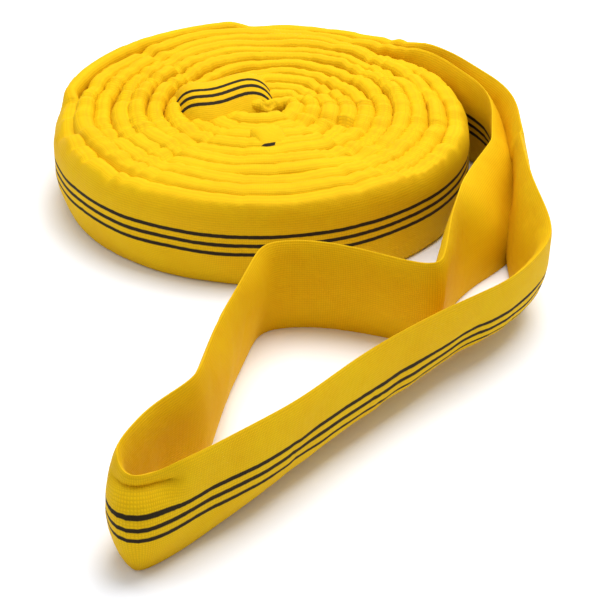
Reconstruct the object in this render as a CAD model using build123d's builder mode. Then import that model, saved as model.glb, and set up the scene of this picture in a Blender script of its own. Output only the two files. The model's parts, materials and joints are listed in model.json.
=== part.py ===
"""Round sling: an endless hank of polyester yarn inside a woven tubular sleeve.

The sling is laid flat in two strands, rolled up on its edge from one bight, and its other bight
is left out of the roll as an open eye. The outer strand and the inner strand run side by side
through the roll. The sleeve and the yarn bend at two places, where the legs leave the roll and
where they part to form the eye, and each bend is a round knuckle about an upright axis.

Z points up and the sling stands on the long edges of its sleeve at Z = 0. The origin is the
centre of the sling's footprint. Lengths are millimetres and angles are degrees.
"""

import math
import os

from build123d import *

# The flattened sling
band_width = 60.0        # lay-flat width of the sleeve, upright here
band_thickness = 10.0    # sleeve and yarn pressed flat
sleeve_wall = 0.8        # woven cloth
edge_radius = 3.0        # outside of the sleeve's folded edges
core_width = 44.0        # the hank is narrower than its sleeve
core_edge_radius = 2.0
core_clearance = 0.3     # yarn to the tucked end of the sleeve, each side

# The roll
layer_gap = 1.0          # air between neighbouring strands
inner_radius = 29.5      # first half turn, to the line between the two strands
half_turns = 10
tail_radius = 16.0       # the bight curls in at the middle of the roll
tail_sweep = 150.0
exit_angle = 50.0        # where the legs leave the roll, from +X

# The legs, side by side
leg_bend_angle = 30.0    # the legs stop following the roll here, from +X
leg_run = 31.0           # straight
leg_sweep_radius = 90.0  # bend that turns the legs to -Y
parting_run = 30.0       # straight, to where the strands part

# The knuckles that the legs and the eye turn on
knuckle_radius = 14.0
knuckle_clearance = 0.3
knuckle_overrun = 1.3    # strands run past a knuckle's axis by this many radii, then are rounded
knuckle_setback = 18.0   # second knuckle's axis, back from the parting point

# The sewn joint of the sleeve, and its label
joint_angle = 150.0      # middle of the lapped joint on the outer strand, from +X
lap_length = 70.0        # how far one end of the sleeve is tucked into the other
tape_length = 40.0
tape_thickness = 0.3
tape_gap = 12.0          # yarn tape to the end of the lap
label_length = 90.0
label_width = 42.0
label_thickness = 0.6
label_corner = 3.0       # rounding of the label's loose corners
label_tab_length = 9.0   # the part of the label that is sewn down
label_clearance = 0.3
label_knuckle = 1.2      # the tab ends this far short of the line that the label folds on
lap_gap = 0.3            # tucked end to the sleeve around it
seat_gap = 0.1           # sewn pieces to the face that they lie on
stitch_length = 3.0
stitch_gap = 1.2
stitch_thickness = 0.7
stitch_rows = 3
stitch_row_spacing = 3.0
stitch_margin = 7.0      # stitches to the long edges of the sleeve

# Where the roll's centre stands, with the origin at the centre of the footprint
coil_x = -17.29
coil_y = 131.56

layer_pitch = band_thickness + layer_gap
mid_height = band_width / 2
core_thickness = band_thickness - 2 * (2 * sleeve_wall + lap_gap + core_clearance)
outer_radius = inner_radius + (half_turns - 1) * layer_pitch
plan = Plane(origin=(coil_x, coil_y, mid_height), z_dir=(0, 0, 1))

# The eye, from the parting point: out along the outer leg, round the bight and back along the
# inner leg, with the radius of the bend at each point
eye_route = [
    (0.5, -57.0, 150.0),
    (9.0, -126.0, 30.0),
    (-15.0, -158.0, 60.0),
    (-92.0, -242.0, 260.0),
    (-134.0, -298.0, 260.0),
    (-181.0, -349.0, 60.0),
    (-207.0, -369.0, 15.0),
    (-217.0, -341.0, 25.0),
    (-200.0, -306.0, 60.0),
    (-177.0, -280.0, 30.0),
    (-169.0, -222.0, 140.0),
    (-146.0, -135.0, 18.0),
    (-118.0, -133.0, 60.0),
    (-88.0, -143.0, 150.0),
    (-52.0, -161.0, 11.0),
    (-42.0, -110.0, 150.0),
    (-22.0, -40.0, 60.0),
]


def at_angle(centre_x, radius, angle):
    """Point on an arc about (centre_x, 0) in the roll's plan."""
    turn = math.radians(angle)
    return (centre_x + radius * math.cos(turn), radius * math.sin(turn))


def half_turn_centre(index):
    """The half turns along the back are centred one layer to the right of those in front."""
    behind = (half_turns - 1 - index) % 2 == 0
    return (layer_pitch, 180.0) if behind else (0.0, 0.0)


exit_centre = half_turn_centre(half_turns - 1)[0]
knuckle_1 = at_angle(exit_centre, outer_radius, exit_angle)
bend_start = at_angle(exit_centre, outer_radius, leg_bend_angle)
bend_heading = math.radians(leg_bend_angle - 90)
run_end = (
    bend_start[0] + leg_run * math.cos(bend_heading),
    bend_start[1] + leg_run * math.sin(bend_heading),
)
sweep_centre = (
    run_end[0] - leg_sweep_radius * math.cos(math.radians(leg_bend_angle)),
    run_end[1] - leg_sweep_radius * math.sin(math.radians(leg_bend_angle)),
)
sweep_end = (sweep_centre[0] + leg_sweep_radius, sweep_centre[1])
parting = (sweep_end[0], sweep_end[1] - parting_run)
knuckle_2 = (parting[0], parting[1] + knuckle_setback)


def strand_shift(side):
    """Outer strand (side 1) and inner strand (side -1), from the line between them."""
    return side * layer_pitch / 2


def tail_centre():
    """X of the curled-in tail's centre, and the angle at which the tail leaves the roll."""
    centre_x, start = half_turn_centre(0)
    inset = inner_radius - tail_radius
    return (centre_x + inset, start) if start == 0 else (centre_x - inset, start)


def coil_strand(side):
    """Arcs of one strand through the roll, for use inside BuildLine."""
    shift = strand_shift(side)
    for index in range(half_turns):
        centre_x, start = half_turn_centre(index)
        last = index == half_turns - 1
        sweep_angle = start - exit_angle if last else 180.0
        CenterArc((centre_x, 0), inner_radius + index * layer_pitch + shift, start, -sweep_angle)
    tail_x, start = tail_centre()
    CenterArc((tail_x, 0), tail_radius + shift, start, tail_sweep)


def coil_bight():
    """The U at the middle of the roll, which joins the strands, for use inside BuildLine."""
    tail_x, start = tail_centre()
    CenterArc(at_angle(tail_x, tail_radius, start + tail_sweep), layer_pitch / 2,
              start + tail_sweep, 180)


def leg_strand(side):
    """One leg from the first knuckle's axis to the second's, for use inside BuildLine."""
    shift = strand_shift(side)
    offset_x = shift * math.cos(math.radians(leg_bend_angle))
    offset_y = shift * math.sin(math.radians(leg_bend_angle))
    CenterArc((exit_centre, 0), outer_radius + shift, exit_angle, leg_bend_angle - exit_angle)
    Line((bend_start[0] + offset_x, bend_start[1] + offset_y),
         (run_end[0] + offset_x, run_end[1] + offset_y))
    CenterArc(sweep_centre, leg_sweep_radius + shift, leg_bend_angle, -leg_bend_angle)
    Line((sweep_end[0] + shift, sweep_end[1]), (knuckle_2[0] + shift, knuckle_2[1]))


def knuckle_strand(number, side):
    """A strand running past a knuckle's axis, for use inside BuildLine."""
    shift = strand_shift(side)
    past = knuckle_overrun * knuckle_radius
    if number == 0:
        CenterArc((exit_centre, 0), outer_radius + shift, exit_angle,
                  -math.degrees(past / (outer_radius + shift)))
    else:
        Line((knuckle_2[0] + shift, knuckle_2[1]), (knuckle_2[0] + shift, knuckle_2[1] - past))


def flat_tube(route, width, thickness, radius, wall=0.0):
    """Sweep a flattened section, upright, along a route, for use inside BuildPart."""
    with BuildSketch(Plane(origin=route @ 0, x_dir=(0, 0, 1), z_dir=route % 0)) as section:
        RectangleRounded(width, thickness, radius)
        if wall:
            RectangleRounded(width - 2 * wall, thickness - 2 * wall, radius - wall,
                             mode=Mode.SUBTRACT)
    sweep(section.sketch, path=route)


def knuckle_plane(centre, heading):
    """Plane at floor level on a knuckle's axis, with X along the strands, away from the roll."""
    return Plane(
        origin=(coil_x + centre[0], coil_y + centre[1], 0),
        x_dir=(math.cos(math.radians(heading)), math.sin(math.radians(heading)), 0),
        z_dir=(0, 0, 1),
    )


knuckle_places = [
    knuckle_plane(knuckle_1, exit_angle - 90),
    knuckle_plane(knuckle_2, -90),
]


def knuckle_cylinder(place, radius):
    """A cylinder on a knuckle's axis, a little taller than the sleeve."""
    with BuildSketch(place.offset(-1)) as outline:
        Circle(radius)
    with BuildPart() as cylinder:
        extrude(outline.sketch, amount=band_width + 2)
    return cylinder.part


knuckles = [knuckle_cylinder(place, knuckle_radius) for place in knuckle_places]
sockets = [knuckle_cylinder(place, knuckle_radius + knuckle_clearance) for place in knuckle_places]

# Routes of the three lengths of the sling
with BuildLine(plan) as coil_line:
    coil_strand(1)
    coil_bight()
    coil_strand(-1)
coil_route = coil_line.wire()

leg_routes = []
for strand in (1, -1):
    with BuildLine(plan) as leg_line:
        leg_strand(strand)
    leg_routes.append(leg_line.wire())

with BuildLine(plan) as eye_line:
    outer_start = (parting[0] + strand_shift(1), parting[1])
    inner_start = (parting[0] + strand_shift(-1), parting[1])
    eye_points = [(parting[0] + x, parting[1] + y) for x, y, _ in eye_route]
    Line((outer_start[0], knuckle_2[1]), outer_start)
    FilletPolyline(outer_start, *eye_points, inner_start, radius=[row[2] for row in eye_route])
    Line(inner_start, (inner_start[0], knuckle_2[1]))
eye_route_wire = eye_line.wire()


knuckle_routes = []
for number in range(len(knuckle_places)):
    pair = []
    for strand in (1, -1):
        with BuildLine(plan) as knuckle_line:
            knuckle_strand(number, strand)
        pair.append(knuckle_line.wire())
    knuckle_routes.append(pair)


def sling_length(name, section, routes, socket=None, knuckle=None):
    """One length of the sleeve or of the yarn, from its socket to its round knuckle."""
    with BuildPart() as length:
        for route in routes:
            flat_tube(route, *section)
        if socket is not None:
            add(sockets[socket], mode=Mode.SUBTRACT)
    if knuckle is not None:
        with BuildPart() as rounded:
            for route in knuckle_routes[knuckle]:
                flat_tube(route, *section)
            add(knuckles[knuckle], mode=Mode.INTERSECT)
        with length:
            add(rounded.part)
    length.part.label = name
    return length.part


sleeve_section = (band_width, band_thickness, edge_radius, sleeve_wall)
core_section = (core_width, core_thickness, core_edge_radius)

pieces = []
for kind, section in [("sleeve", sleeve_section), ("core", core_section)]:
    pieces.append(sling_length(kind + "_coil", section, [coil_route], knuckle=0))
    pieces.append(sling_length(kind + "_legs", section, leg_routes, socket=0, knuckle=1))
    pieces.append(sling_length(kind + "_eye", section, [eye_route_wire], socket=1))

# The lapped joint, on the outer strand at the back of the roll
joint_radius = outer_radius + strand_shift(1)
face_radius = joint_radius + band_thickness / 2


def joint_arc(radius, start, length):
    """Arc of the outer strand's curve, from a distance along it, clockwise from the joint."""
    per_mm = math.degrees(1 / radius)
    with BuildLine(plan) as arc:
        CenterArc((exit_centre, 0), radius, joint_angle - start * per_mm, -length * per_mm)
    return arc.wire()


with BuildPart() as sleeve_tucked_end:
    lap_inset = 2 * (sleeve_wall + lap_gap)
    flat_tube(joint_arc(joint_radius, -lap_length / 2, lap_length), band_width - lap_inset,
              band_thickness - lap_inset, edge_radius - lap_inset / 2, sleeve_wall)
sleeve_tucked_end.part.label = "sleeve_tucked_end"

with BuildPart() as yarn_tape:
    tape_growth = 2 * (tape_thickness + seat_gap)
    flat_tube(joint_arc(joint_radius, lap_length / 2 + tape_gap, tape_length),
              core_width + tape_growth, core_thickness + tape_growth,
              core_edge_radius + tape_growth / 2, tape_thickness)
yarn_tape.part.label = "yarn_tape"


def label_strip(route):
    """A strip of label cloth along an arc, for use inside BuildPart."""
    with BuildSketch(Plane(origin=route @ 0, x_dir=(0, 0, 1), z_dir=route % 0)) as section:
        Rectangle(label_width, label_thickness)
    sweep(section.sketch, path=route)


tab_radius = face_radius + seat_gap + label_thickness / 2
flap_radius = face_radius + label_clearance + label_thickness / 2
fold_start = label_tab_length / 2 + label_knuckle

with BuildPart() as label_tab:
    label_strip(joint_arc(tab_radius, -label_tab_length / 2, label_tab_length))
label_tab.part.label = "label_tab"


def joint_plane(radius, distance):
    """Upright plane on the joint's curve, facing outwards, with X up."""
    angle = joint_angle - math.degrees(distance / radius)
    out = (math.cos(math.radians(angle)), math.sin(math.radians(angle)), 0)
    spot = at_angle(exit_centre, radius, angle)
    return Plane(origin=(coil_x + spot[0], coil_y + spot[1], mid_height), x_dir=(0, 0, 1),
                 z_dir=out)


# The label folds on its rounded hem
with BuildPart() as label_flap:
    label_strip(joint_arc(flap_radius, fold_start, label_length))
    far_edges = label_flap.edges().filter_by(lambda e: abs(e.length - label_thickness) < 0.01)
    far_edges = far_edges.sort_by(Axis.X)[-2:]
    fillet(far_edges, label_corner)
    with BuildSketch(Plane(origin=joint_plane(flap_radius, fold_start).origin)) as hem:
        Circle(label_thickness / 2)
    extrude(hem.sketch, amount=label_width / 2, both=True)
label_flap.part.label = "label_flap"

stitch_pitch = stitch_length + stitch_gap
stitch_span = band_width - 2 * stitch_margin
stitches_per_row = int(stitch_span // stitch_pitch)

with BuildPart() as seam_stitches:
    for row in range(stitch_rows):
        distance = (row - (stitch_rows - 1) / 2) * stitch_row_spacing
        for number in range(stitches_per_row):
            height = (number - (stitches_per_row - 1) / 2) * stitch_pitch
            on_label = abs(height) < (label_width + stitch_length) / 2
            seat = tab_radius + label_thickness / 2 if on_label else face_radius
            face = joint_plane(seat + seat_gap, distance)
            with Locations(face.location * Pos(height, 0, 0)):
                Box(stitch_length, stitch_thickness, stitch_thickness,
                    align=(Align.CENTER, Align.CENTER, Align.MIN))
seam_stitches.part.label = "seam_stitches"

pieces += [sleeve_tucked_end.part, yarn_tape.part, label_tab.part, label_flap.part,
           seam_stitches.part]

os.makedirs("parts", exist_ok=True)
for piece in pieces:
    export_step(piece, f"parts/{piece.label}.step")
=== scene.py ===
"""Looks of a round sling: woven sleeve, yarn core, sewn joint and label, and the stage.

Laid out as an add-on. Each piece has an operator, and the sizes and colours that a user would
change are in property groups. Lengths are metres, and the tables in millimetres say so.
"""

import json
import math

import bmesh
import bpy
import numpy as np
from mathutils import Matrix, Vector


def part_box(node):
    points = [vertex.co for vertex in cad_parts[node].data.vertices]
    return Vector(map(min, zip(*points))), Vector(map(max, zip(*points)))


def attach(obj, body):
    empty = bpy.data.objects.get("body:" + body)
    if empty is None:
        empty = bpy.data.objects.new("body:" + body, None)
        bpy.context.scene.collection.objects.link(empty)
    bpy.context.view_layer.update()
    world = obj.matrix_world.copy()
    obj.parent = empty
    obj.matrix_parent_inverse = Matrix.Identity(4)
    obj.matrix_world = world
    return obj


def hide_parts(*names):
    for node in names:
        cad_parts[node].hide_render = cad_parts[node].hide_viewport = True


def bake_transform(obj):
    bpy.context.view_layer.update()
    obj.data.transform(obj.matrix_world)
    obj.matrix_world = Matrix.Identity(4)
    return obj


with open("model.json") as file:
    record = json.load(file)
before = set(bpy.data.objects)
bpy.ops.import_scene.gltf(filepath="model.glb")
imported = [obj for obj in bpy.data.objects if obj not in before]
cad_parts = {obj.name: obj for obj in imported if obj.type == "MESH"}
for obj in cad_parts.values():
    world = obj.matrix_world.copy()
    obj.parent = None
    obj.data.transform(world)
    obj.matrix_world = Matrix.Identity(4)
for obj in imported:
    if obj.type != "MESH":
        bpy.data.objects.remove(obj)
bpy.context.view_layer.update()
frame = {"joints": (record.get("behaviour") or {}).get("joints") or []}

bl_info = {
    "name": "Round Sling",
    "version": (1, 0, 0),
    "blender": (4, 5, 0),
    "location": "View3D > Sidebar > Sling",
    "description": "Builds a rolled round sling with its woven sleeve, yarn, label and stage",
    "category": "Object",
}

# ---------------------------------------------------------------- places taken from the frame

MM = 0.001
SLEEVE_LOW, SLEEVE_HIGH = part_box("sleeve_coil")
BAND_WIDTH = SLEEVE_HIGH.z - SLEEVE_LOW.z
JOINTS = {joint["name"]: joint for joint in frame["joints"]}
LEG_KNUCKLE = Vector(JOINTS["loop_swing"]["pos_m"])

# ---------------------------------------------------------------- the sling's own sizes

BAND_THICKNESS = 10 * MM
LAYER_PITCH = 11 * MM
INNER_RADIUS = 29.5 * MM
HALF_TURNS = 10
TAIL_RADIUS = 16 * MM
TAIL_SWEEP = 150.0
EXIT_ANGLE = 50.0
LEG_BEND_ANGLE = 30.0
LEG_RUN = 31 * MM
LEG_SWEEP_RADIUS = 90 * MM
PARTING_RUN = 30 * MM
OUTER_RADIUS = INNER_RADIUS + (HALF_TURNS - 1) * LAYER_PITCH
FRONT_RADIUS = OUTER_RADIUS - LAYER_PITCH / 2 + BAND_THICKNESS / 2
ROLL_CENTRE = np.array([SLEEVE_LOW.x + FRONT_RADIUS, SLEEVE_LOW.y + FRONT_RADIUS])

CORE_WIDTH = 44 * MM
CORE_HALF_THICKNESS = 2.4 * MM
FOLD_HALF_THICKNESS = 2.6 * MM
STRIPE_PITCH = 5.6 * MM
STRIPE_WIDTH = 2.4 * MM

STATION_STEP = 3 * MM          # between the rings of a tube
FOLD_STEP = 1.5 * MM           # between the rings of a flopped fold
FLOOR_GAP = 0.2 * MM
CUT_BEFORE_KNUCKLE = 45 * MM   # from the legs' knuckle to the border of the roll's piece
SPLIT_AFTER_KNUCKLE = 65 * MM  # from the legs' knuckle to the border of the eye's piece

# Line of the eye from the parting point, out along the outer leg and back along the inner leg,
# in millimetres, with how far the cloth rounds each corner
EYE_ROUTE = [
    (0.5, -57.0, 16),
    (8.5, -122.0, 13),
    (-14.0, -157.0, 13),
    (-52.0, -197.0, 14),
    (-92.0, -241.0, 14),
    (-134.0, -297.0, 14),
    (-181.0, -347.0, 12),
    (-206.0, -366.0, 8),
    (-215.0, -341.0, 9),
    (-200.0, -306.0, 10),
    (-177.0, -278.0, 9),
    (-169.0, -222.0, 14),
    (-147.0, -136.0, 9),
    (-118.0, -133.5, 12),
    (-88.0, -143.0, 13),
    (-51.5, -160.0, 5),
    (-42.0, -110.0, 14),
    (-22.0, -40.0, 14),
]


def linear(hex_colour):
    """An sRGB hex colour as linear RGB."""
    values = [int(hex_colour[i:i + 2], 16) / 255 for i in (0, 2, 4)]
    return tuple(v / 12.92 if v <= 0.04045 else ((v + 0.055) / 1.055) ** 2.4 for v in values)


# ---------------------------------------------------------------- line of the sling in plan

def arc(centre, radius, start, sweep):
    """Points on an arc, about a millimetre apart."""
    count = max(2, int(abs(math.radians(sweep)) * radius / MM))
    angles = np.radians(start + sweep * np.linspace(0, 1, count))
    return np.stack([centre[0] + radius * np.cos(angles), centre[1] + radius * np.sin(angles)], -1)


def run(start, end):
    """Points on a straight run, about a millimetre apart."""
    start, end = np.array(start), np.array(end)
    count = max(2, int(np.linalg.norm(end - start) / MM))
    return start + (end - start) * np.linspace(0, 1, count)[:, None]


def half_turn(index):
    """Centre's X and start angle of a half turn; the back ones stand one layer over."""
    behind = (HALF_TURNS - 1 - index) % 2 == 0
    return (LAYER_PITCH, 180.0) if behind else (0.0, 0.0)


def roll_strand(side):
    """One strand through the roll, from its middle outwards to the legs' knuckle."""
    shift = side * LAYER_PITCH / 2
    centre_x, start = half_turn(0)
    tail_x = centre_x + math.copysign(INNER_RADIUS - TAIL_RADIUS, 1 if start == 0 else -1)
    lines = [arc((tail_x, 0), TAIL_RADIUS + shift, start + TAIL_SWEEP, -TAIL_SWEEP)]
    for index in range(HALF_TURNS):
        centre_x, start = half_turn(index)
        last = index == HALF_TURNS - 1
        sweep = start - EXIT_ANGLE if last else 180.0
        lines.append(arc((centre_x, 0), INNER_RADIUS + index * LAYER_PITCH + shift, start, -sweep))
    return np.concatenate(lines)


def roll_bight():
    """The U at the middle of the roll, from the outer strand to the inner one."""
    centre_x, start = half_turn(0)
    tail_x = centre_x + math.copysign(INNER_RADIUS - TAIL_RADIUS, 1 if start == 0 else -1)
    turn = math.radians(start + TAIL_SWEEP)
    centre = (tail_x + TAIL_RADIUS * math.cos(turn), TAIL_RADIUS * math.sin(turn))
    return arc(centre, LAYER_PITCH / 2, start + TAIL_SWEEP, 180)


def leg_strand(side):
    """One leg from the roll to the parting point, and the parting point between the legs."""
    shift = side * LAYER_PITCH / 2
    bend = math.radians(LEG_BEND_ANGLE)
    back_x = half_turn(HALF_TURNS - 1)[0]
    spoke = np.array([math.cos(bend), math.sin(bend)])
    heading = np.array([math.sin(bend), -math.cos(bend)])
    bend_start = np.array([back_x, 0]) + OUTER_RADIUS * spoke
    run_end = bend_start + LEG_RUN * heading
    sweep_centre = run_end - LEG_SWEEP_RADIUS * spoke
    sweep_end = sweep_centre + np.array([LEG_SWEEP_RADIUS, 0])
    parting = sweep_end - np.array([0, PARTING_RUN])
    across = np.array([shift, 0])
    lines = [
        arc((back_x, 0), OUTER_RADIUS + shift, EXIT_ANGLE, LEG_BEND_ANGLE - EXIT_ANGLE),
        run(bend_start + shift * spoke, run_end + shift * spoke),
        arc(sweep_centre, LEG_SWEEP_RADIUS + shift, LEG_BEND_ANGLE, -LEG_BEND_ANGLE),
        run(sweep_end + across, parting + across),
    ]
    return np.concatenate(lines), parting


def soften(points, reach):
    """Smooth a closely spaced line, each point over its own reach in millimetres."""
    index = np.arange(-45, 46)
    weight = np.exp(-0.5 * (index[None, :] / reach[:, None]) ** 2)
    weight /= weight.sum(1, keepdims=True)
    places = np.clip(np.arange(len(points))[:, None] + index[None, :], 0, len(points) - 1)
    return (points[places] * weight[:, :, None]).sum(1)


def spread(line, step):
    """The same line with points a fixed step apart."""
    length = np.concatenate([[0], np.cumsum(np.linalg.norm(np.diff(line, axis=0), axis=1))])
    keep = np.concatenate([[True], np.diff(length) > 1e-9])
    length, line = length[keep], line[keep]
    count = int(round(length[-1] / step))
    wanted = np.linspace(0, length[-1], count + 1)
    return np.stack([np.interp(wanted, length, line[:, axis]) for axis in (0, 1)], -1)


def whole_line():
    """The sling's closed centre line: from the parting point in along the outer leg, round the
    roll, out along the inner leg and round the eye."""
    outer_leg, parting = leg_strand(1)
    inner_leg, _ = leg_strand(-1)
    half = np.array([LAYER_PITCH / 2, 0])
    corners = [parting + np.array([x, y]) * MM for x, y, _ in EYE_ROUTE]
    corners = [parting + half] + corners + [parting - half]
    reaches = [12] + [reach for _, _, reach in EYE_ROUTE] + [12]
    eye, reach = [], []
    for i in range(len(corners) - 1):
        piece = run(corners[i], corners[i + 1])
        eye.append(piece)
        reach.append(np.linspace(reaches[i], reaches[i + 1], len(piece)))
    eye, reach = np.concatenate(eye), np.concatenate(reach)
    ends = np.minimum(np.arange(len(eye)), np.arange(len(eye))[::-1])
    eye = soften(eye, np.minimum(reach, 0.5 + ends / 3))
    parts = [outer_leg[::-1], roll_strand(1)[::-1], roll_bight(), roll_strand(-1), inner_leg,
             eye[::-1]]
    line = np.concatenate(parts) + ROLL_CENTRE
    return np.concatenate([line, line[:1]])


LINE = spread(whole_line(), STATION_STEP)[:-1]
STATIONS = len(LINE)


def smooth_ring(values, passes):
    """Average a closed row of values with their neighbours."""
    for _ in range(passes):
        values = (np.roll(values, 1, 0) + 2 * values + np.roll(values, -1, 0)) / 4
    return values


LINE = smooth_ring(LINE, 2)
AHEAD = np.roll(LINE, -1, 0) - np.roll(LINE, 1, 0)
AHEAD /= np.linalg.norm(AHEAD, axis=1)[:, None]
OUTWARD = np.stack([AHEAD[:, 1], -AHEAD[:, 0]], -1)


def nearest_station(point, low=0, high=None):
    """The station nearest to a point in plan, between two stations."""
    high = STATIONS if high is None else high
    gap = np.linalg.norm(LINE[low:high] - np.array([point[0], point[1]]), axis=1)
    return low + int(gap.argmin())


HALFWAY = nearest_station(ROLL_CENTRE + np.array([INNER_RADIUS, 0]))
OUTER_IN = nearest_station(LEG_KNUCKLE, 0, HALFWAY)
INNER_OUT = nearest_station(LEG_KNUCKLE, HALFWAY)

# The lapped joint of the sleeve, at the back of the roll, and the sewn label beside it
EXIT_CENTRE = ROLL_CENTRE + np.array([LAYER_PITCH, 0])
JOINT_ANGLE = math.radians(150)
JOINT_RADIUS = OUTER_RADIUS + LAYER_PITCH / 2
FACE_RADIUS = JOINT_RADIUS + BAND_THICKNESS / 2
LAP_LENGTH = 70 * MM
TAPE_START, TAPE_LENGTH, TAPE_THICKNESS = 47 * MM, 40 * MM, 0.35 * MM
LABEL_WIDTH, LABEL_THICKNESS = 42 * MM, 0.6 * MM
LABEL_FROM, LABEL_TO, LABEL_FOLD_AT = -4.5 * MM, 95.7 * MM, 5.7 * MM
JOINT_SPOT = EXIT_CENTRE + JOINT_RADIUS * np.array([math.cos(JOINT_ANGLE), math.sin(JOINT_ANGLE)])
JOINT_STATION = nearest_station(JOINT_SPOT, OUTER_IN, HALFWAY)
FROM_JOINT = (JOINT_STATION - np.arange(STATIONS)) * STATION_STEP


# ---------------------------------------------------------------- crumpling of the cloth

class Cloud:
    """Smooth repeatable unevenness from -1 to 1, read at points given in its own cell size."""

    def __init__(self, seed, cells=32):
        self.cells = cells
        self.grid = np.random.RandomState(seed).uniform(-1, 1, (cells, cells, cells))

    def at(self, x, y, z):
        spots = [np.asarray(v, float) for v in np.broadcast_arrays(x, y, z)]
        low = [np.floor(v).astype(int) for v in spots]
        part = [v - whole for v, whole in zip(spots, low)]
        part = [f * f * (3 - 2 * f) for f in part]
        total = 0
        for i in (0, 1):
            for j in (0, 1):
                for k in (0, 1):
                    share = (part[0] if i else 1 - part[0]) * (part[1] if j else 1 - part[1])
                    share = share * (part[2] if k else 1 - part[2])
                    cell = [(whole + step) % self.cells for whole, step in zip(low, (i, j, k))]
                    total = total + share * self.grid[cell[0], cell[1], cell[2]]
        return total


def crease(values, sharpness):
    """Turn smooth unevenness into narrow folds: 1 along a fold, 0 away from it."""
    return np.clip(1 - np.abs(values) * sharpness, 0, 1) ** 2


def step_up(values, low, high):
    """0 below low, 1 above high and smooth between."""
    share = np.clip((values - low) / (high - low), 0, 1)
    return share * share * (3 - 2 * share)


def keyed(positions, keys):
    """A value read along straight runs between (position, value) keys."""
    return np.interp(positions, [key[0] for key in keys], [key[1] for key in keys])


FLOPS = Cloud(3)
FOLDS = Cloud(8)
PUFFS = Cloud(15)
RUMPLES = Cloud(21)

# How far each station is from the outer leg's parting point, along the eye, in millimetres; the
# eye is the last stretch of the closed line
FROM_OUTER_LEG = np.arange(STATIONS)[::-1] * STATION_STEP / MM

# Shape of the loose legs, keyed by that distance: lean in degrees, then how far the lower edge
# is tucked in and how far the top edge sags, both in millimetres
LEAN_KEYS = [(0, 3), (60, 10), (120, 16), (165, 20), (220, 12), (300, 6), (420, 0), (560, 0),
             (700, -4), (800, -6), (850, 8), (885, 29), (930, 31), (975, 18), (1010, 4), (1040, 0)]
TUCK_KEYS = [(0, 0), (90, 2), (150, 10), (200, 13), (320, 13), (400, 6), (460, 1), (520, 0),
             (1040, 0)]
SAG_KEYS = [(0, 0), (80, 1), (150, 3), (230, 2), (330, 3.5), (420, 2), (480, 0.5), (540, 1),
            (620, 2.5), (700, 2), (760, 5), (800, 0), (1040, 0)]

# Middle of the bight at the far end of the eye, by the same distance, and how far it is pressed
BIGHT_AT = 437.0
BIGHT_REACH = 19

# Shares of the sleeve's width, from its lower edge to its upper one, that carry its points
SECTION_LEVELS = [0, 0.012, 0.035, 0.075, 0.13, 0.21, 0.31, 0.42, 0.53, 0.64, 0.74, 0.82, 0.885,
                  0.935, 0.968, 0.99, 1.0]
IN_ROLL = np.zeros(STATIONS)
IN_ROLL[OUTER_IN:INNER_OUT] = 1
IN_ROLL = smooth_ring(IN_ROLL, 60)


def roll_angle():
    """Angle of each station about the roll's centre."""
    offset = LINE - ROLL_CENTRE
    return np.arctan2(offset[:, 1], offset[:, 0])


def top_relief(x, y):
    """Height of the roll's crumpled top above flat, at points in plan."""
    dx, dy = x - ROLL_CENTRE[0], y - ROLL_CENTRE[1]
    radius, angle = np.hypot(dx, dy), np.arctan2(dy, dx)
    spokes = FOLDS.at(np.cos(angle) * 5.2 + 9, np.sin(angle) * 5.2 + 9, radius / 0.16)
    fans = FOLDS.at(np.cos(angle) * 3.1 + 3, np.sin(angle) * 3.1 + 3, radius / 0.07 + 7)
    humps = PUFFS.at(x / 0.055 + 4, y / 0.055 + 4, 2.5)
    dimples = PUFFS.at(x / 0.019, y / 0.019, 6.5)
    sides = step_up(np.abs(np.cos(angle)), 0.35, 0.85) * 0.85 + 0.15
    crinkles = FOLDS.at(angle * 16 + 40, radius / 0.035, 11.5)
    relief = 2.2 * humps + 0.8 * dimples
    relief = relief - sides * (3.2 * crease(spokes, 5) + 2.6 * crease(fans, 6))
    relief -= 3.2 * sides * crease(crinkles, 4)
    dome = 2.5 * (1 - (radius / OUTER_RADIUS) ** 2) - 1.5 * step_up(radius, 0.105, 0.13)
    return (relief + dome) * MM


# Where the cloth lies smooth: along the sewn joint and under the label
CALM = step_up(FROM_JOINT, -60 * MM, -42 * MM) * (1 - step_up(FROM_JOINT, 105 * MM, 125 * MM))


def bight_dent(level):
    """The hollow pressed in under the top edge at the eye's far end, as moves in metres."""
    place = (FROM_OUTER_LEG[:, None] - BIGHT_AT) / BIGHT_REACH
    hollow = np.exp(-place ** 4) * np.exp(-((level - 0.81) / 0.1) ** 2)
    fold = np.exp(-place ** 4) * step_up(level, 0.7, 1.0)
    inwards = -OUTWARD[int(np.abs(FROM_OUTER_LEG - BIGHT_AT).argmin())]
    move = np.zeros((STATIONS, level.shape[1], 3))
    move[..., :2] = inwards * (4.0 * fold + 7.5 * hollow)[..., None] * MM
    move[..., 2] = -4.0 * fold * MM
    return move


def height_profile(rows, low_level, high_level):
    """A matrix that reads values given at SECTION_LEVELS again between two other levels."""
    levels = np.array(SECTION_LEVELS)
    wanted = low_level + (high_level - low_level) * np.array(rows)
    table = np.zeros((len(wanted), len(levels)))
    for row, place in enumerate(wanted):
        table[row] = [np.interp(place, levels, unit) for unit in np.eye(len(levels))]
    return table


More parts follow.
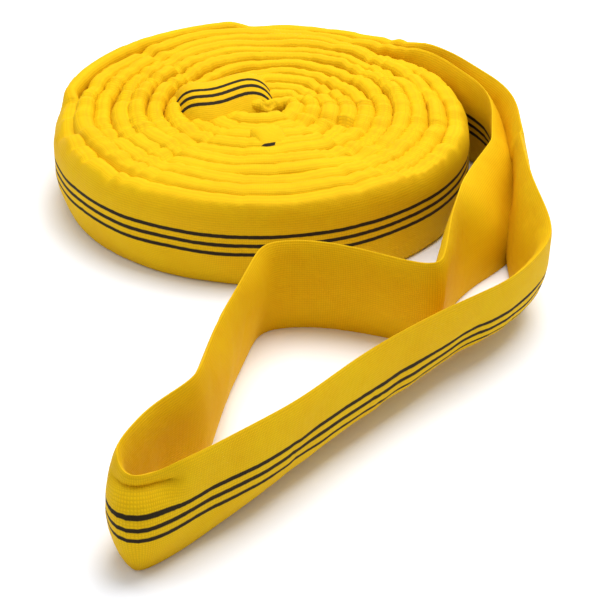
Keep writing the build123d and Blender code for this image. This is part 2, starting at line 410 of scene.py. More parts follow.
def sling_middle():
    """The middle sheet of the flattened tube all along the closed line: points by station and
    level, and the direction of the striped face at each."""
    level = np.array(SECTION_LEVELS)[None, :]
    index = np.arange(STATIONS)
    along = index * STATION_STEP
    wide = IN_ROLL[:, None]

    # How far the upper edge lies over towards the striped face
    own = FLOPS.at(along / 0.07, 1.5, 3.5) * 3.4 + FLOPS.at(along / 0.021, 7.5, 2.5) * 1.3
    shared = FLOPS.at(LINE[:, 0] / 0.06, LINE[:, 1] / 0.06, 5.5) * 4.0
    outwards = np.sign((OUTWARD * (LINE - ROLL_CENTRE)).sum(1))
    flop = smooth_ring(outwards * (shared - 4.5), 8) + own
    outer_turn = step_up(index, OUTER_IN - 10, OUTER_IN + 20) * (
        1 - step_up(index, OUTER_IN + 260, OUTER_IN + 290))
    flop = flop * (1 - outer_turn) + outer_turn * (-6.0 + 2.5 * FLOPS.at(along / 0.05, 3.5, 9.5))
    flop = flop * (1 - 0.85 * CALM)
    strand_rise = FLOPS.at(along / 0.06, 11.5, 5.5) * 3.2 * (1 - 0.8 * outer_turn)
    loose_flop = FLOPS.at(along / 0.07, 4.5, 8.5) * 2.5
    flop = ((flop * IN_ROLL + loose_flop * (1 - IN_ROLL)) * MM)[:, None]

    # How the loose legs lean, and how far edges are tucked in or sag
    lean = np.radians(keyed(FROM_OUTER_LEG, LEAN_KEYS)) * (1 - IN_ROLL)
    left_front = np.clip(np.cos(roll_angle() - math.radians(215)), 0, 1) ** 1.5
    wall_tuck = 1.5 + 5.0 * left_front + 1.5 * FLOPS.at(along / 0.06, 6.5, 3.5)
    wall_tuck = outer_turn * (1 - CALM) * wall_tuck
    tuck = keyed(FROM_OUTER_LEG, TUCK_KEYS) * (1 - IN_ROLL) + wall_tuck * IN_ROLL
    tuck = tuck * MM
    sag = keyed(FROM_OUTER_LEG, SAG_KEYS) * MM * (1 - IN_ROLL)
    lean, tuck, sag = (smooth_ring(v, 30)[:, None] for v in (lean, tuck, sag))

    # Sideways and upward place of each level before and after leaning
    top_bend = step_up(level, 0.66, 1.0)
    low_part = np.clip(1 - level / 0.4, 0, 1)
    buckle = FLOPS.at(along[:, None] / 0.042, level * 2.1, 1.5) * 2.6 * MM * (1 - wide)
    side = flop * top_bend - tuck * low_part ** 1.3 + buckle * np.sin(math.pi * level)
    height = BAND_WIDTH * level - 0.35 * np.abs(flop) * top_bend
    height = height - 0.22 * tuck * np.clip(level / 0.5, 0, 1)
    height = height + (strand_rise[:, None] * MM * wide - sag) * top_bend
    middle = BAND_WIDTH / 2
    pivot = middle + 0.3 * BAND_WIDTH * (FROM_OUTER_LEG > 600)[:, None]
    leaning = side * np.cos(lean) + (height - pivot) * np.sin(lean)
    height = middle * np.cos(lean) + (height - middle) * np.cos(lean) - side * np.sin(lean)

    sheet = np.empty((STATIONS, level.shape[1], 3))
    sheet[..., :2] = LINE[:, None, :] + OUTWARD[:, None, :] * leaning[..., None]
    sheet[..., 2] = height
    relief = top_relief(sheet[..., 0], sheet[..., 1]) - 1.0 * MM
    sheet[..., 2] += relief * wide * top_bend * (1 - 0.8 * CALM[:, None])
    sheet += bight_dent(level)

    rise = unit_vectors(np.gradient(sheet, axis=1))
    forward = np.concatenate([AHEAD, np.zeros((STATIONS, 1))], 1)[:, None, :]
    return sheet, unit_vectors(np.cross(forward, rise))


def unit_vectors(vectors):
    """The same directions, each of length 1."""
    return vectors / (np.linalg.norm(vectors, axis=-1)[..., None] + 1e-12)


SHEET, FACING = sling_middle()


def skin(sheet, facing, half, rumple=None):
    """Rings of points round a middle sheet: up its striped face and down its plain face."""
    rows = []
    for sign in (1, -1):
        swell = 0 if rumple is None else rumple[0 if sign > 0 else 1]
        rows.append(sheet + facing * sign * (half + swell)[..., None])
    ring = np.concatenate([rows[0], rows[1][:, ::-1]], 1)
    ring[..., 2] = np.maximum(ring[..., 2], FLOOR_GAP)
    return ring


def cloth_rumple(spot, seed, along, level):
    """How far the cloth stands out from its smooth face, in metres."""
    x, y, z = (spot[..., i] for i in range(3))
    swell = RUMPLES.at(x / 0.034 + seed, y / 0.034, z / 0.028)
    small = RUMPLES.at(x / 0.013, y / 0.013 + seed, z / 0.02)
    slack = RUMPLES.at(along / 0.03 + level * 1.6, level * 2.2 + seed, 4.5)
    edge = np.abs(2 * level - 1) ** 3
    return (0.9 * swell + 0.35 * small - 0.9 * crease(slack, 5) * (0.35 + 0.65 * edge)) * MM


def ring_normals(grid):
    """Outward normals of a grid of rings that closes on itself both ways."""
    along = np.roll(grid, -1, 0) - np.roll(grid, 1, 0)
    around = np.roll(grid, -1, 1) - np.roll(grid, 1, 1)
    return unit_vectors(np.cross(along, around))


def girth_places(levels, width):
    """Distance round a flattened tube's cloth at each of its ring's points, and all the way."""
    up = np.array(levels) * width
    return np.concatenate([up, 2 * width - up[::-1]]), 2 * width


def add_mesh(name, points, faces, corner_map=None):
    """A finished mesh object at the origin, with a map in metres if one is given."""
    mesh = bpy.data.meshes.new(name)
    mesh.from_pydata(np.asarray(points).tolist(), [], faces)
    if corner_map is not None:
        layer = mesh.uv_layers.new(name="cloth")
        layer.data.foreach_set("uv", np.asarray(corner_map, np.float32).ravel())
    mesh.update()
    piece = bpy.data.objects.new(name, mesh)
    bpy.context.scene.collection.objects.link(piece)
    mesh.polygons.foreach_set("use_smooth", [True] * len(mesh.polygons))
    return piece


def tube_mesh(name, grid, stations, girth, normals=None):
    """A closed tube from some stations of a grid of rings, with a map in metres round it (U) and
    along it (V)."""
    part = grid[stations]
    rows, columns = part.shape[:2]
    places, whole = girth
    faces, corners = [], []
    for i in range(rows - 1):
        v0, v1 = i * STATION_STEP, (i + 1) * STATION_STEP
        v0, v1 = v0 + stations[0] * STATION_STEP, v1 + stations[0] * STATION_STEP
        for j in range(columns):
            k = (j + 1) % columns
            low, high = i * columns, (i + 1) * columns
            faces.append((low + j, high + j, high + k, low + k))
            u0, u1 = places[j], places[k] if k else whole
            corners += [(u0, v0), (u0, v1), (u1, v1), (u1, v0)]
    sides = len(faces)
    for row, step in ((0, 1), (rows - 1, -1)):
        faces.append([row * columns + j for j in range(columns)][::step])
        corners += [(0.0, stations[row] * STATION_STEP)] * columns
    piece = add_mesh(name, part.reshape(-1, 3), faces, corners)
    for face in piece.data.polygons[sides:]:
        face.use_smooth = False
    if normals is not None:
        spread_normals = normals[stations].reshape(-1, 3)
        piece.data.normals_split_custom_set_from_vertices(spread_normals.tolist())
    return piece


# ---------------------------------------------------------------- materials

def add_node(tree, kind, settings=None, inputs=None):
    """Add a node with its settings, and with values or links for its inputs."""
    node = tree.nodes.new(kind)
    for key, value in (settings or {}).items():
        setattr(node, key, value)
    for key, value in (inputs or {}).items():
        if isinstance(value, bpy.types.NodeSocket):
            tree.links.new(value, node.inputs[key])
        else:
            node.inputs[key].default_value = value
    return node


def new_material(name, roughness, sheen=0.0, specular=0.5):
    """A material with its shader, and the node tree to build its pattern in."""
    material = bpy.data.materials.new(name)
    material.use_nodes = True
    tree = material.node_tree
    shader = tree.nodes["Principled BSDF"]
    shader.inputs["Roughness"].default_value = roughness
    shader.inputs["Sheen Weight"].default_value = sheen
    shader.inputs["Sheen Roughness"].default_value = 0.4
    shader.inputs["Specular IOR Level"].default_value = specular
    return material, tree, shader


def cloth_map(tree):
    """The map round the cloth (X) and along it (Y), in metres, and the distance round alone."""
    place = add_node(tree, "ShaderNodeUVMap", {"uv_map": "cloth"}).outputs["UV"]
    parts = add_node(tree, "ShaderNodeSeparateXYZ", inputs={0: place})
    return place, parts.outputs["X"]


def math_node(tree, operation, *values):
    """The result of a Math node."""
    inputs = dict(enumerate(values))
    return add_node(tree, "ShaderNodeMath", {"operation": operation}, inputs).outputs[0]


def weave_height(tree, place, spacing_round, spacing_along):
    """Height of a plain weave: threads over and under one another at two spacings in metres. The
    wave's own scale has 10 / pi bands to a unit."""
    threads = []
    for direction, spacing in (("X", spacing_round), ("Y", spacing_along)):
        bands = add_node(tree, "ShaderNodeTexWave",
                         {"wave_type": "BANDS", "bands_direction": direction,
                          "wave_profile": "SIN"},
                         {"Vector": place, "Scale": math.pi / 10 / spacing, "Distortion": 0.6,
                          "Detail": 1.0, "Detail Scale": 0.5})
        threads.append(bands.outputs["Fac"])
    return math_node(tree, "MULTIPLY", threads[0], threads[1])


def sleeve_material(colours):
    """Woven polyester filament sleeve, dyed yellow: it gives the eye a dull close cloth with a
    fine rib, uneven in tone, and three dark woven-in stripes on one face. The threads are finer in
    the real cloth, and are drawn 1 mm and more apart so that they show. The gaps between the
    threads are darkened with painted shade."""
    material, tree, shader = new_material("woven_polyester_sleeve", 0.75, specular=0.12)
    place, around = cloth_map(tree)
    height = weave_height(tree, place, 1.3 * MM, 1.0 * MM)

    spot = add_node(tree, "ShaderNodeTexCoord").outputs["Object"]
    blotch = add_node(tree, "ShaderNodeTexNoise", inputs={
        "Vector": spot, "Scale": 1 / (45 * MM), "Detail": 3.0, "Roughness": 0.6})
    thread_tone = add_node(tree, "ShaderNodeTexNoise", inputs={
        "Vector": spot, "Scale": 1 / (6 * MM), "Detail": 2.0})
    tone = math_node(tree, "MULTIPLY_ADD", blotch.outputs["Fac"], 0.7,
                     math_node(tree, "MULTIPLY", thread_tone.outputs["Fac"], 0.3))
    dyed = add_node(tree, "ShaderNodeMixRGB", {"blend_type": "MIX"}, {
        "Fac": add_node(tree, "ShaderNodeMapRange", inputs={
            "Value": tone, "From Min": 0.38, "From Max": 0.62}).outputs[0],
        "Color1": (*linear(colours.sleeve_deep), 1), "Color2": (*linear(colours.sleeve), 1)})
    # Painted shade: the colour is darkened to 0.84 of itself in the low gaps of the weave, so
    # woven holds the dyed colour with painted shade between the threads.
    painted_gap_shade = add_node(tree, "ShaderNodeMapRange", inputs={
        "Value": height, "From Min": 0.0, "From Max": 0.35, "To Min": 0.84, "To Max": 1.0})
    woven = add_node(tree, "ShaderNodeVectorMath", {"operation": "SCALE"}, {
        0: dyed.outputs[0], "Scale": painted_gap_shade.outputs[0]})

    wobble = add_node(tree, "ShaderNodeTexNoise", inputs={
        "Vector": place, "Scale": 1 / (4 * MM), "Detail": 2.0})
    wobble = math_node(tree, "MULTIPLY_ADD", wobble.outputs["Fac"], 0.5 * MM, -0.25 * MM)
    from_middle = math_node(tree, "SUBTRACT", around, BAND_WIDTH / 2)
    from_middle = math_node(tree, "ADD", from_middle, wobble)
    from_stripe = math_node(tree, "PINGPONG", math_node(tree, "ABSOLUTE", from_middle),
                            STRIPE_PITCH / 2)
    stripe = add_node(tree, "ShaderNodeMapRange", inputs={
        "Value": from_stripe, "From Min": STRIPE_WIDTH / 2 - 0.25 * MM,
        "From Max": STRIPE_WIDTH / 2 + 0.25 * MM, "To Min": 1.0, "To Max": 0.0}).outputs[0]
    inside = math_node(tree, "LESS_THAN", math_node(tree, "ABSOLUTE", from_middle),
                       1.5 * STRIPE_PITCH)
    stripe = math_node(tree, "MULTIPLY", stripe, inside)
    striped = add_node(tree, "ShaderNodeMixRGB", inputs={
        "Fac": stripe, "Color1": woven.outputs[0], "Color2": (*linear(colours.stripe), 1)})
    tree.links.new(striped.outputs[0], shader.inputs["Base Color"])

    rib = add_node(tree, "ShaderNodeBump", inputs={
        "Height": height, "Strength": 0.55, "Distance": 0.25 * MM})
    pucker = add_node(tree, "ShaderNodeTexNoise", inputs={
        "Vector": spot, "Scale": 1 / (9 * MM), "Detail": 3.0})
    slack = add_node(tree, "ShaderNodeBump", inputs={
        "Height": pucker.outputs["Fac"], "Strength": 0.5, "Distance": 1.2 * MM,
        "Normal": rib.outputs[0]})
    tree.links.new(slack.outputs[0], shader.inputs["Normal"])
    return material


def yarn_material(colours):
    """Endless polyester yarn laid in a hank: pale lustrous strands that run along the core, with
    painted shade in the grooves between them.
    """
    material, tree, shader = new_material("polyester_load_yarn", 0.5, sheen=0.15)
    place, _ = cloth_map(tree)
    strands = add_node(tree, "ShaderNodeTexWave",
                       {"wave_type": "BANDS", "bands_direction": "X"},
                       {"Vector": place, "Scale": math.pi / 10 / (2.2 * MM), "Distortion": 1.5,
                        "Detail": 2.0, "Detail Scale": 0.4})
    # Painted shade: the darker B9B3A2 fills the low grooves between the strands, where the bump
    # sinks.
    tone = add_node(tree, "ShaderNodeMixRGB", inputs={
        "Fac": strands.outputs["Fac"], "Color1": (*linear("B9B3A2"), 1),
        "Color2": (*linear(colours.yarn), 1)})
    tree.links.new(tone.outputs[0], shader.inputs["Base Color"])
    bump = add_node(tree, "ShaderNodeBump", inputs={
        "Height": strands.outputs["Fac"], "Strength": 0.8, "Distance": 0.6 * MM})
    tree.links.new(bump.outputs[0], shader.inputs["Normal"])
    return material


def woven_material(name, roughness, colour, deep, spacing):
    """A closely woven cloth or tape of one colour, with its thread crossings, painted shade in the
    gaps between them and a soft sheen.
    """
    material, tree, shader = new_material(name, roughness, sheen=0.2)
    place, _ = cloth_map(tree)
    height = weave_height(tree, place, spacing, spacing)
    # Painted shade: the deep colour fills the low gaps of the weave, where the bump sinks; the
    # raised crossings keep the full colour.
    tone = add_node(tree, "ShaderNodeMixRGB", inputs={
        "Fac": height, "Color1": (*linear(deep), 1), "Color2": (*linear(colour), 1)})
    tree.links.new(tone.outputs[0], shader.inputs["Base Color"])
    bump = add_node(tree, "ShaderNodeBump", inputs={
        "Height": height, "Strength": 0.6, "Distance": 0.2 * MM})
    tree.links.new(bump.outputs[0], shader.inputs["Normal"])
    return material


def label_material(colours):
    """Closely woven label cloth, blue as polyester slings carry it, with a pale woven border."""
    # The darker blue 123C78 is painted shade in the gaps of the weave.
    material = woven_material("woven_label_cloth", 0.7, colours.label, "123C78", 0.7 * MM)
    tree = material.node_tree
    shader = tree.nodes["Principled BSDF"]
    _, around = cloth_map(tree)
    side = math_node(tree, "PINGPONG", around, LABEL_WIDTH / 2)
    line = math_node(tree, "COMPARE", side, 3 * MM, 0.5 * MM)
    bare = shader.inputs["Base Color"].links[0].from_socket
    bordered = add_node(tree, "ShaderNodeMixRGB", inputs={
        "Fac": line, "Color1": bare, "Color2": (*linear("E9EDF2"), 1)})
    tree.links.new(bordered.outputs[0], shader.inputs["Base Color"])
    return material


def thread_material(colours):
    """Twisted polyester sewing thread: fine diagonal plies with a slight lustre, and painted shade
    in the grooves between the plies.
    """
    material, tree, shader = new_material("polyester_sewing_thread", 0.45, sheen=0.1)
    spot = add_node(tree, "ShaderNodeTexCoord").outputs["Object"]
    plies = add_node(tree, "ShaderNodeTexWave", {"bands_direction": "DIAGONAL"},
                     {"Vector": spot, "Scale": math.pi / 10 / (0.5 * MM)})
    # Painted shade: the darker B7AF93 fills the low grooves between the plies, where the bump
    # sinks.
    tone = add_node(tree, "ShaderNodeMixRGB", inputs={
        "Fac": plies.outputs["Fac"], "Color1": (*linear("B7AF93"), 1),
        "Color2": (*linear(colours.thread), 1)})
    tree.links.new(tone.outputs[0], shader.inputs["Base Color"])
    bump = add_node(tree, "ShaderNodeBump", inputs={
        "Height": plies.outputs["Fac"], "Strength": 0.5, "Distance": 0.1 * MM})
    tree.links.new(bump.outputs[0], shader.inputs["Normal"])
    return material


def stage_material(colours):
    """Matt paper sweep, nearly white, with a faint unevenness."""
    material, tree, shader = new_material("matt_paper_sweep", 0.9, specular=0.1)
    spot = add_node(tree, "ShaderNodeTexCoord").outputs["Object"]
    mottle = add_node(tree, "ShaderNodeTexNoise", inputs={
        "Vector": spot, "Scale": 3.0, "Detail": 2.0})
    tone = add_node(tree, "ShaderNodeMixRGB", inputs={
        "Fac": mottle.outputs["Fac"], "Color1": (*linear(colours.floor), 1),
        "Color2": (*linear("FDFDFC"), 1)})
    tree.links.new(tone.outputs[0], shader.inputs["Base Color"])
    return material


# ---------------------------------------------------------------- sizes and colours to change

class SlingColours(bpy.types.PropertyGroup):
    """Colours of the sling and its stage, as sRGB hex."""

    sleeve: bpy.props.StringProperty(
        name="Sleeve", description="Dyed sleeve, where the cloth is full", default="E6BA02")
    sleeve_deep: bpy.props.StringProperty(
        name="Sleeve, deep", description="Dyed sleeve, where the weave closes up",
        default="E4B200")
    stripe: bpy.props.StringProperty(
        name="Stripe", description="Woven-in stripes that count the rated load", default="2A2110")
    yarn: bpy.props.StringProperty(
        name="Yarn", description="Load-bearing yarn in the core", default="E9E4D6")
    thread: bpy.props.StringProperty(
        name="Thread", description="Thread of the seams", default="E4DDC4")
    label: bpy.props.StringProperty(
        name="Label", description="Label cloth, blue for a polyester sling", default="1E57A5")
    floor: bpy.props.StringProperty(
        name="Floor", description="Paper sweep under the sling", default="EEF3FF")


class SlingSizes(bpy.types.PropertyGroup):
    """Sizes of the sling's cloth and of its stage."""

    half_thickness: bpy.props.FloatProperty(
        name="Half thickness", description="From the middle of the flat tube to its face",
        default=BAND_THICKNESS / 2, unit="LENGTH")
    key_strength: bpy.props.FloatProperty(
        name="Key light", description="Power of the large soft light over the back right",
        default=40.0, unit="POWER")
    world_strength: bpy.props.FloatProperty(
        name="Room light", description="Strength of the even white light", default=0.5)


MATERIALS = {}


def tube_profile(half, fullness, levels):
    """Half thickness at each level of a flattened tube, with round folds at both edges."""
    level = np.array(levels)
    round_edge = np.sqrt(np.clip(1 - np.abs(2 * level - 1) ** fullness, 0, 1))
    return half * np.maximum(round_edge, 0.1)


def sleeve_rings(half):
    """Rings of the sleeve's cloth all along the sling."""
    levels = np.array(SECTION_LEVELS)
    along = (np.arange(STATIONS) * STATION_STEP)[:, None]
    front = step_up(-np.sin(roll_angle()), -0.2, 0.7)[:, None]
    swelling = 0.22 + 0.22 * front + 0.12 * PUFFS.at(along / 0.03, 2.5, 8.5)
    swelling = swelling * (1 - CALM[:, None])
    filled = tube_profile(half, 11, levels) * (1 + swelling * step_up(levels, 0.55, 0.9))
    lens = half * np.clip(1 - np.abs(2 * levels - 1) ** 2.4, 0.012, 1) ** 0.75
    wide = np.maximum(IN_ROLL, CALM)[:, None]
    profile = filled * wide + lens * (1 - wide)
    calm = (1 - 0.85 * CALM[:, None]) * np.minimum(profile / half, 1) ** 2 * (1.6 - 0.6 * wide)
    rumple = [cloth_rumple(SHEET, seed, along, levels[None, :]) * calm
              for seed in (0.0, 40.0)]
    lapped = step_up(np.abs(FROM_JOINT), LAP_LENGTH / 2 + 2 * MM, LAP_LENGTH / 2 - 1 * MM)
    profile = profile + lapped[:, None] * 0.5 * MM * (profile / half)
    return skin(SHEET, FACING, profile, rumple)


def core_rings(half, width):
    """Rings of the yarn core, inside the sleeve all along the sling."""
    edge = (1 - width / BAND_WIDTH) / 2
    table = height_profile(CORE_LEVELS, edge, 1 - edge)
    sheet = np.einsum("rl,slk->srk", table, SHEET)
    facing = unit_vectors(np.einsum("rl,slk->srk", table, FACING))
    profile = tube_profile(half, 5, CORE_LEVELS) * np.ones((STATIONS, 1))
    return skin(sheet, facing, profile)


CORE_LEVELS = [0, 0.06, 0.2, 0.5, 0.8, 0.94, 1.0]
CUT = int(round(CUT_BEFORE_KNUCKLE / STATION_STEP))
SPLIT = int(round(SPLIT_AFTER_KNUCKLE / STATION_STEP))
PARTS = {
    "roll": np.arange(OUTER_IN + CUT, INNER_OUT - CUT + 1),
    "outer_leg": np.arange(OUTER_IN - SPLIT, OUTER_IN + CUT + 1),
    "inner_leg": np.arange(INNER_OUT - CUT, INNER_OUT + SPLIT + 1),
    "eye": np.arange(INNER_OUT + SPLIT, STATIONS + OUTER_IN - SPLIT + 1) % STATIONS,
}


def bend_with_joints(piece, part):
    """Let the roll's piece ride on its body; bake the other pieces' places into their meshes."""
    if part == "roll":
        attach(piece, "roll")
    elif part == "eye":
        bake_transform(piece)
    else:
        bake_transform(piece)


REPLACED = {
    "roll": {"sleeve": ["sleeve_coil", "sleeve_tucked_end"], "core": ["core_coil"]},
    "outer_leg": {"sleeve": ["sleeve_legs"], "core": ["core_legs"]},
    "inner_leg": {"sleeve": ["sleeve_legs"], "core": ["core_legs"]},
    "eye": {"sleeve": ["sleeve_eye"], "core": ["core_eye"]},
}


class SLING_OT_sleeve(bpy.types.Operator):
    """Build the woven sleeve, in one piece for each body and one across each knuckle"""

    bl_idname = "sling.sleeve"
    bl_label = "Woven sleeve"

    def execute(self, context):
        rings = sleeve_rings(context.scene.sling_sizes.half_thickness)
        normals = ring_normals(rings)
        material = sleeve_material(context.scene.sling_colours)
        MATERIALS["sleeve"] = material
        girth = girth_places(SECTION_LEVELS, BAND_WIDTH)
        for part, stations in PARTS.items():
            piece = tube_mesh("sleeve_skin_" + part, rings, stations, girth, normals)
            piece.data.materials.append(material)
            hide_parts(*REPLACED[part]["sleeve"])
            bend_with_joints(piece, part)
        return {"FINISHED"}


class SLING_OT_core(bpy.types.Operator):
    """Build the hank of load yarn inside the sleeve"""

    bl_idname = "sling.core"
    bl_label = "Yarn core"

    def execute(self, context):
        rings = core_rings(CORE_HALF_THICKNESS, CORE_WIDTH)
        material = yarn_material(context.scene.sling_colours)
        girth = girth_places(CORE_LEVELS, CORE_WIDTH)
        for part, stations in PARTS.items():
            piece = tube_mesh("yarn_hank_" + part, rings, stations, girth)
            piece.data.materials.append(material)
            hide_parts(*REPLACED[part]["core"])
            bend_with_joints(piece, part)
        return {"FINISHED"}


def flopped_sheet(start, end, sway, height, reach):
    """Middle sheet of a stretch of the inner bight that lies over on the roll's top: points and
    facing. It climbs out of the folds, shows its striped face and dives in again. Start, end,
    sway, height and reach are in millimetres."""
    start, end = np.array(start) * MM, np.array(end) * MM
    count = int(round(np.linalg.norm(end - start) / FOLD_STEP))
    share = np.linspace(0, 1, count)[:, None]
    level = np.array(SECTION_LEVELS)[None, :]
    line = start + (end - start) * share
    ahead = (end - start) / np.linalg.norm(end - start)
    across = np.array([ahead[1], -ahead[0]])
    line = line + across * sway * MM * np.sin((share - 0.04) * 2 * math.pi)
    from_middle = (0.5 - np.linspace(0, 1, 121)) * reach
    tilt = np.radians(np.where(from_middle > 0, 25 - 2.7 * from_middle, 25 - 1.3 * from_middle))
    step = np.abs(from_middle[1] - from_middle[0])
    forward = np.cumsum(np.cos(tilt)) * step
    drop = np.cumsum(np.sin(tilt)) * step
    forward, drop = forward - forward[60], drop - drop[60]
    grid = np.linspace(0, 1, 121)
    forward, drop = (np.interp(1 - level, grid, v) * MM for v in (forward, drop))
    dive = (np.abs(2 * share - 1) ** 7) * 13 * MM
    sheet = np.empty((count, level.shape[1], 3))
    sheet[..., 0] = line[:, :1] + across[0] * forward
    sheet[..., 1] = line[:, 1:] + across[1] * forward
    sheet[..., 2] = height * MM - drop - dive
    rise = unit_vectors(np.gradient(sheet, axis=1))
    travel = unit_vectors(np.gradient(sheet, axis=0))
    facing = unit_vectors(np.cross(travel, rise))
    facing *= np.sign(facing[..., 2:].mean())
    return sheet, facing


class SLING_OT_flopped_folds(bpy.types.Operator):
    """Lay the two stretches of the bight that flop over on the roll and show their stripes"""

    bl_idname = "sling.flopped_folds"
    bl_label = "Flopped folds"

    def execute(self, context):
        places, whole = girth_places(SECTION_LEVELS, BAND_WIDTH)
        for name, start, end, sway, height, shift in (
                ("flopped_fold", (-68, 131), (-11, 141), 5.5, 64.0, 0.0),
                ("flopped_pleat", (-20, 74), (0, 80), 0.5, 59.6, 8.4 * MM)):
            sheet, facing = flopped_sheet(start, end, sway, height, 58)
            level = np.array(SECTION_LEVELS)[None, :]
            profile = tube_profile(FOLD_HALF_THICKNESS, 8, SECTION_LEVELS)
            profile = profile * np.ones((len(sheet), 1))
            travel = np.arange(len(sheet))[:, None] * FOLD_STEP
            calm = (profile / FOLD_HALF_THICKNESS) ** 2
            rumple = [cloth_rumple(sheet, seed, travel, level) * 0.6 * calm
                      for seed in (11.0, 50.0)]
            rings = skin(sheet, facing, profile, rumple)
            piece = tube_mesh(name, rings, np.arange(len(sheet)), (places + shift, whole + shift))
            piece.data.materials.append(MATERIALS["sleeve"])
            face_outwards(piece)
            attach(piece, "roll")
        return {"FINISHED"}


def face_outwards(piece):
    """Turn a closed piece's faces outwards."""
    work = bmesh.new()
    work.from_mesh(piece.data)
    bmesh.ops.recalc_face_normals(work, faces=work.faces)
    work.to_mesh(piece.data)
    work.free()


class SLING_OT_tape(bpy.types.Operator):
    """Wrap the tape that holds the yarn hank together beside the lapped joint"""

    bl_idname = "sling.tape"
    bl_label = "Yarn tape"

    def execute(self, context):
        width = CORE_WIDTH + 0.8 * MM
        rings = core_rings(CORE_HALF_THICKNESS + TAPE_THICKNESS, width)
        near = (FROM_JOINT >= TAPE_START) & (FROM_JOINT <= TAPE_START + TAPE_LENGTH)
        girth = girth_places(CORE_LEVELS, width)
        piece = tube_mesh("tape_wrap", rings, np.flatnonzero(near), girth)
        # The darker CFCABF is painted shade in the gaps of the tape's weave.
        piece.data.materials.append(
            woven_material("cotton_yarn_tape", 0.85, "EFECE4", "CFCABF", 0.8 * MM))
        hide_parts("yarn_tape")
        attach(piece, "roll")
        return {"FINISHED"}


def joint_point(distance, radius, height):
    """A point beside the lapped joint: distance clockwise along the face, radius and height."""
    angle = JOINT_ANGLE - distance / FACE_RADIUS
    return (EXIT_CENTRE[0] + radius * math.cos(angle),
            EXIT_CENTRE[1] + radius * math.sin(angle), height)


class SLING_OT_label(bpy.types.Operator):
    """Sew the label's tab to the lapped joint and let its flap lie along the roll"""

    bl_idname = "sling.label"
    bl_label = "Label"

    def execute(self, context):
        # Places of its rings in millimetres from the joint, close together over the fold
        near = np.concatenate([np.arange(-4.5, 4.4, 1.5), np.arange(4.5, 7.4, 0.2), [8.5, 10, 12]])
        distances = np.concatenate([near * MM, np.arange(15, 95.8, 3.0) * MM, [LABEL_TO]])
        middle = BAND_WIDTH / 2
        rings = []
        for distance in distances:
            loose = max(0.0, distance - LABEL_FOLD_AT) / (LABEL_TO - LABEL_FOLD_AT)
            radius = FACE_RADIUS + (0.5 * MM if distance < 4 * MM else 0.65 * MM)
            radius += 3.5 * MM * loose ** 2.5 + 0.5 * MM * loose * math.sin(distance / (13 * MM))
            narrow = 3 * MM * max(0.0, 1 - (LABEL_TO - distance) / (3 * MM)) ** 2
            heights = np.linspace(-1, 1, 9) * (LABEL_WIDTH / 2 - narrow) + middle
            wave = 0.5 * MM * loose * np.sin(heights / (9 * MM))
            outer = [joint_point(distance, radius + w + LABEL_THICKNESS / 2, h)
                     for h, w in zip(heights, wave)]
            inner = [joint_point(distance, radius + w - LABEL_THICKNESS / 2, h)
                     for h, w in zip(heights, wave)]
            rings.append(outer + inner[::-1])
        rings = np.array(rings)
        up = np.linspace(0, LABEL_WIDTH, 9)
        girth = (np.concatenate([up, 2 * LABEL_WIDTH - up[::-1]]), 2 * LABEL_WIDTH)
        piece = tube_mesh("label", rings, np.arange(len(rings)), girth)
        for polygon in piece.data.polygons:
            polygon.use_smooth = False
        face_outwards(piece)
        piece.data.materials.append(label_material(context.scene.sling_colours))
        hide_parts("label_tab", "label_flap")
        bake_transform(piece)
        return {"FINISHED"}


def in_fixed_order(mesh):
    """A mesh's corners and faces in an order that is the same each run. A primitive's own order
    isn't, and its flat quads would be cut along either diagonal."""
    order = sorted(range(len(mesh.vertices)),
                   key=lambda i: tuple(round(c, 5) for c in mesh.vertices[i].co))
    rank = {old: new for new, old in enumerate(order)}
    faces = []
    for polygon in mesh.polygons:
        ring = [rank[i] for i in polygon.vertices]
        first = ring.index(min(ring))
        faces.append(tuple(ring[first:] + ring[:first]))
    return [mesh.vertices[i].co.copy() for i in order], sorted(faces)


STITCH_ROWS = [-3 * MM, 0.0, 3 * MM, -31 * MM]
STITCHES_IN_ROW = 10
STITCH_PITCH = 4.2 * MM


class SLING_OT_stitches(bpy.types.Operator):
    """Sew three rows of thread across the lapped joint, and one row near its open edge"""

    bl_idname = "sling.stitches"
    bl_label = "Stitches"

    def execute(self, context):
        bpy.ops.object.select_all(action="DESELECT")
        bpy.ops.mesh.primitive_uv_sphere_add(segments=8, ring_count=6, radius=1)
        pattern = context.object
        shape, faces = in_fixed_order(pattern.data)
        bpy.data.objects.remove(pattern)
        points, all_faces = [], []
        for distance in STITCH_ROWS:
            for number in range(STITCHES_IN_ROW):
                height = BAND_WIDTH / 2 + (number - (STITCHES_IN_ROW - 1) / 2) * STITCH_PITCH
                on_label = abs(height - BAND_WIDTH / 2) < 22 * MM and abs(distance) < 4 * MM
                radius = FACE_RADIUS + (0.95 if on_label else 0.7) * MM
                angle = JOINT_ANGLE - distance / FACE_RADIUS
                out = np.array([math.cos(angle), math.sin(angle), 0])
                side = np.array([-out[1], out[0], 0])
                centre = np.array(joint_point(distance, radius, height))
                first = len(points)
                for co in shape:
                    sunk = 0.12 * MM * (co.z ** 4)
                    points.append(centre + side * co.x * 0.38 * MM + out * (co.y * 0.3 * MM - sunk)
                                  + np.array([0, 0, co.z * 1.7 * MM]))
                all_faces += [tuple(first + i for i in face) for face in faces]
        piece = add_mesh("seam_thread", points, all_faces)
        piece.data.materials.append(thread_material(context.scene.sling_colours))
        face_outwards(piece)
        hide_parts("seam_stitches")
        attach(piece, "roll")
        return {"FINISHED"}


CAMERA_PLACE = Vector((5.9 * MM, -1124.0 * MM, 644.5 * MM))
CAMERA_TARGET = Vector((5.9 * MM, -6.8 * MM, 0))
KEY_PLACE, KEY_SIZE = (0.3, 0.45, 1.6), 1.5
FILL_PLACE, FILL_SIZE, FILL_POWER = (-1.4, 0.1, 1.0), 0.9, 3.5


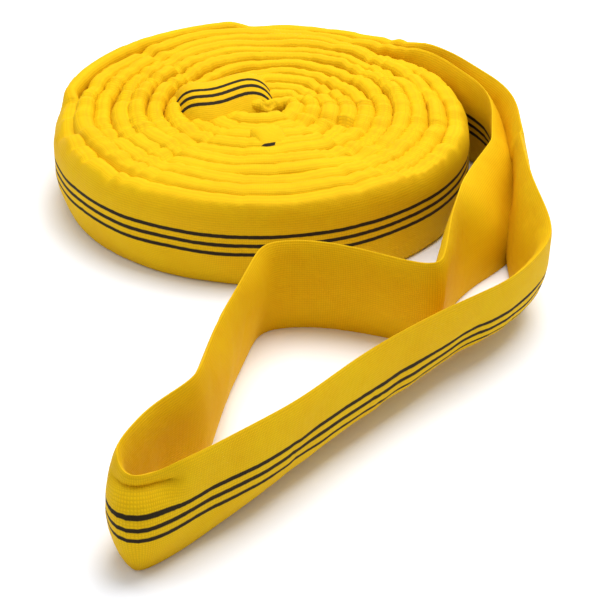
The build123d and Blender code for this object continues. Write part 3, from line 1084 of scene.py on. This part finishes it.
class SLING_OT_stage(bpy.types.Operator):
    """Set the pale floor, the soft lights and the camera"""

    bl_idname = "sling.stage"
    bl_label = "Stage"

    def execute(self, context):
        scene = context.scene
        camera = bpy.data.objects.new("camera", bpy.data.cameras.new("camera"))
        scene.collection.objects.link(camera)
        camera.location = CAMERA_PLACE
        aim = CAMERA_TARGET - camera.location
        camera.rotation_euler = aim.to_track_quat("-Z", "Y").to_euler()
        camera.data.lens, camera.data.sensor_width = 135, 36
        scene.camera = camera

        floor = add_mesh("floor", [(-6, -6, 0), (6, -6, 0), (6, 6, 0), (-6, 6, 0)], [(0, 1, 2, 3)])
        floor.data.materials.append(stage_material(scene.sling_colours))

        world = bpy.data.worlds.new("white_room")
        world.use_nodes = True
        sky = world.node_tree.nodes["Background"]
        sky.inputs["Color"].default_value = (1, 1, 1, 1)
        sky.inputs["Strength"].default_value = scene.sling_sizes.world_strength
        scene.world = world

        for name, place, size, power in (
                ("key", KEY_PLACE, KEY_SIZE, scene.sling_sizes.key_strength),
                ("fill", FILL_PLACE, FILL_SIZE, FILL_POWER)):
            light = bpy.data.objects.new(name, bpy.data.lights.new(name, "AREA"))
            light.data.size, light.data.energy = size, power
            light.location = place
            light.rotation_euler = (-Vector(place)).to_track_quat("-Z", "Y").to_euler()
            scene.collection.objects.link(light)
        scene.view_settings.view_transform = "Standard"
        return {"FINISHED"}


class SLING_PT_panel(bpy.types.Panel):
    """Lists the pieces of the sling in the order they are built"""

    bl_label = "Round Sling"
    bl_space_type = "VIEW_3D"
    bl_region_type = "UI"
    bl_category = "Sling"

    def draw(self, context):
        for operator in BUILD_ORDER:
            self.layout.operator(operator.bl_idname)


BUILD_ORDER = [SLING_OT_stage, SLING_OT_sleeve, SLING_OT_core, SLING_OT_flopped_folds,
               SLING_OT_tape, SLING_OT_label, SLING_OT_stitches]
CLASSES = [SlingColours, SlingSizes, *BUILD_ORDER, SLING_PT_panel]


def register():
    """Register the classes and hang their settings on the scene."""
    for cls in CLASSES:
        bpy.utils.register_class(cls)
    bpy.types.Scene.sling_colours = bpy.props.PointerProperty(type=SlingColours)
    bpy.types.Scene.sling_sizes = bpy.props.PointerProperty(type=SlingSizes)


def unregister():
    """Undo register."""
    del bpy.types.Scene.sling_colours
    del bpy.types.Scene.sling_sizes
    for cls in reversed(CLASSES):
        bpy.utils.unregister_class(cls)


def main():
    """Build the sling."""
    register()
    bpy.ops.sling.stage()
    bpy.ops.sling.sleeve()
    bpy.ops.sling.core()
    bpy.ops.sling.flopped_folds()
    bpy.ops.sling.tape()
    bpy.ops.sling.label()
    bpy.ops.sling.stitches()


if __name__ == "__main__":
    main()
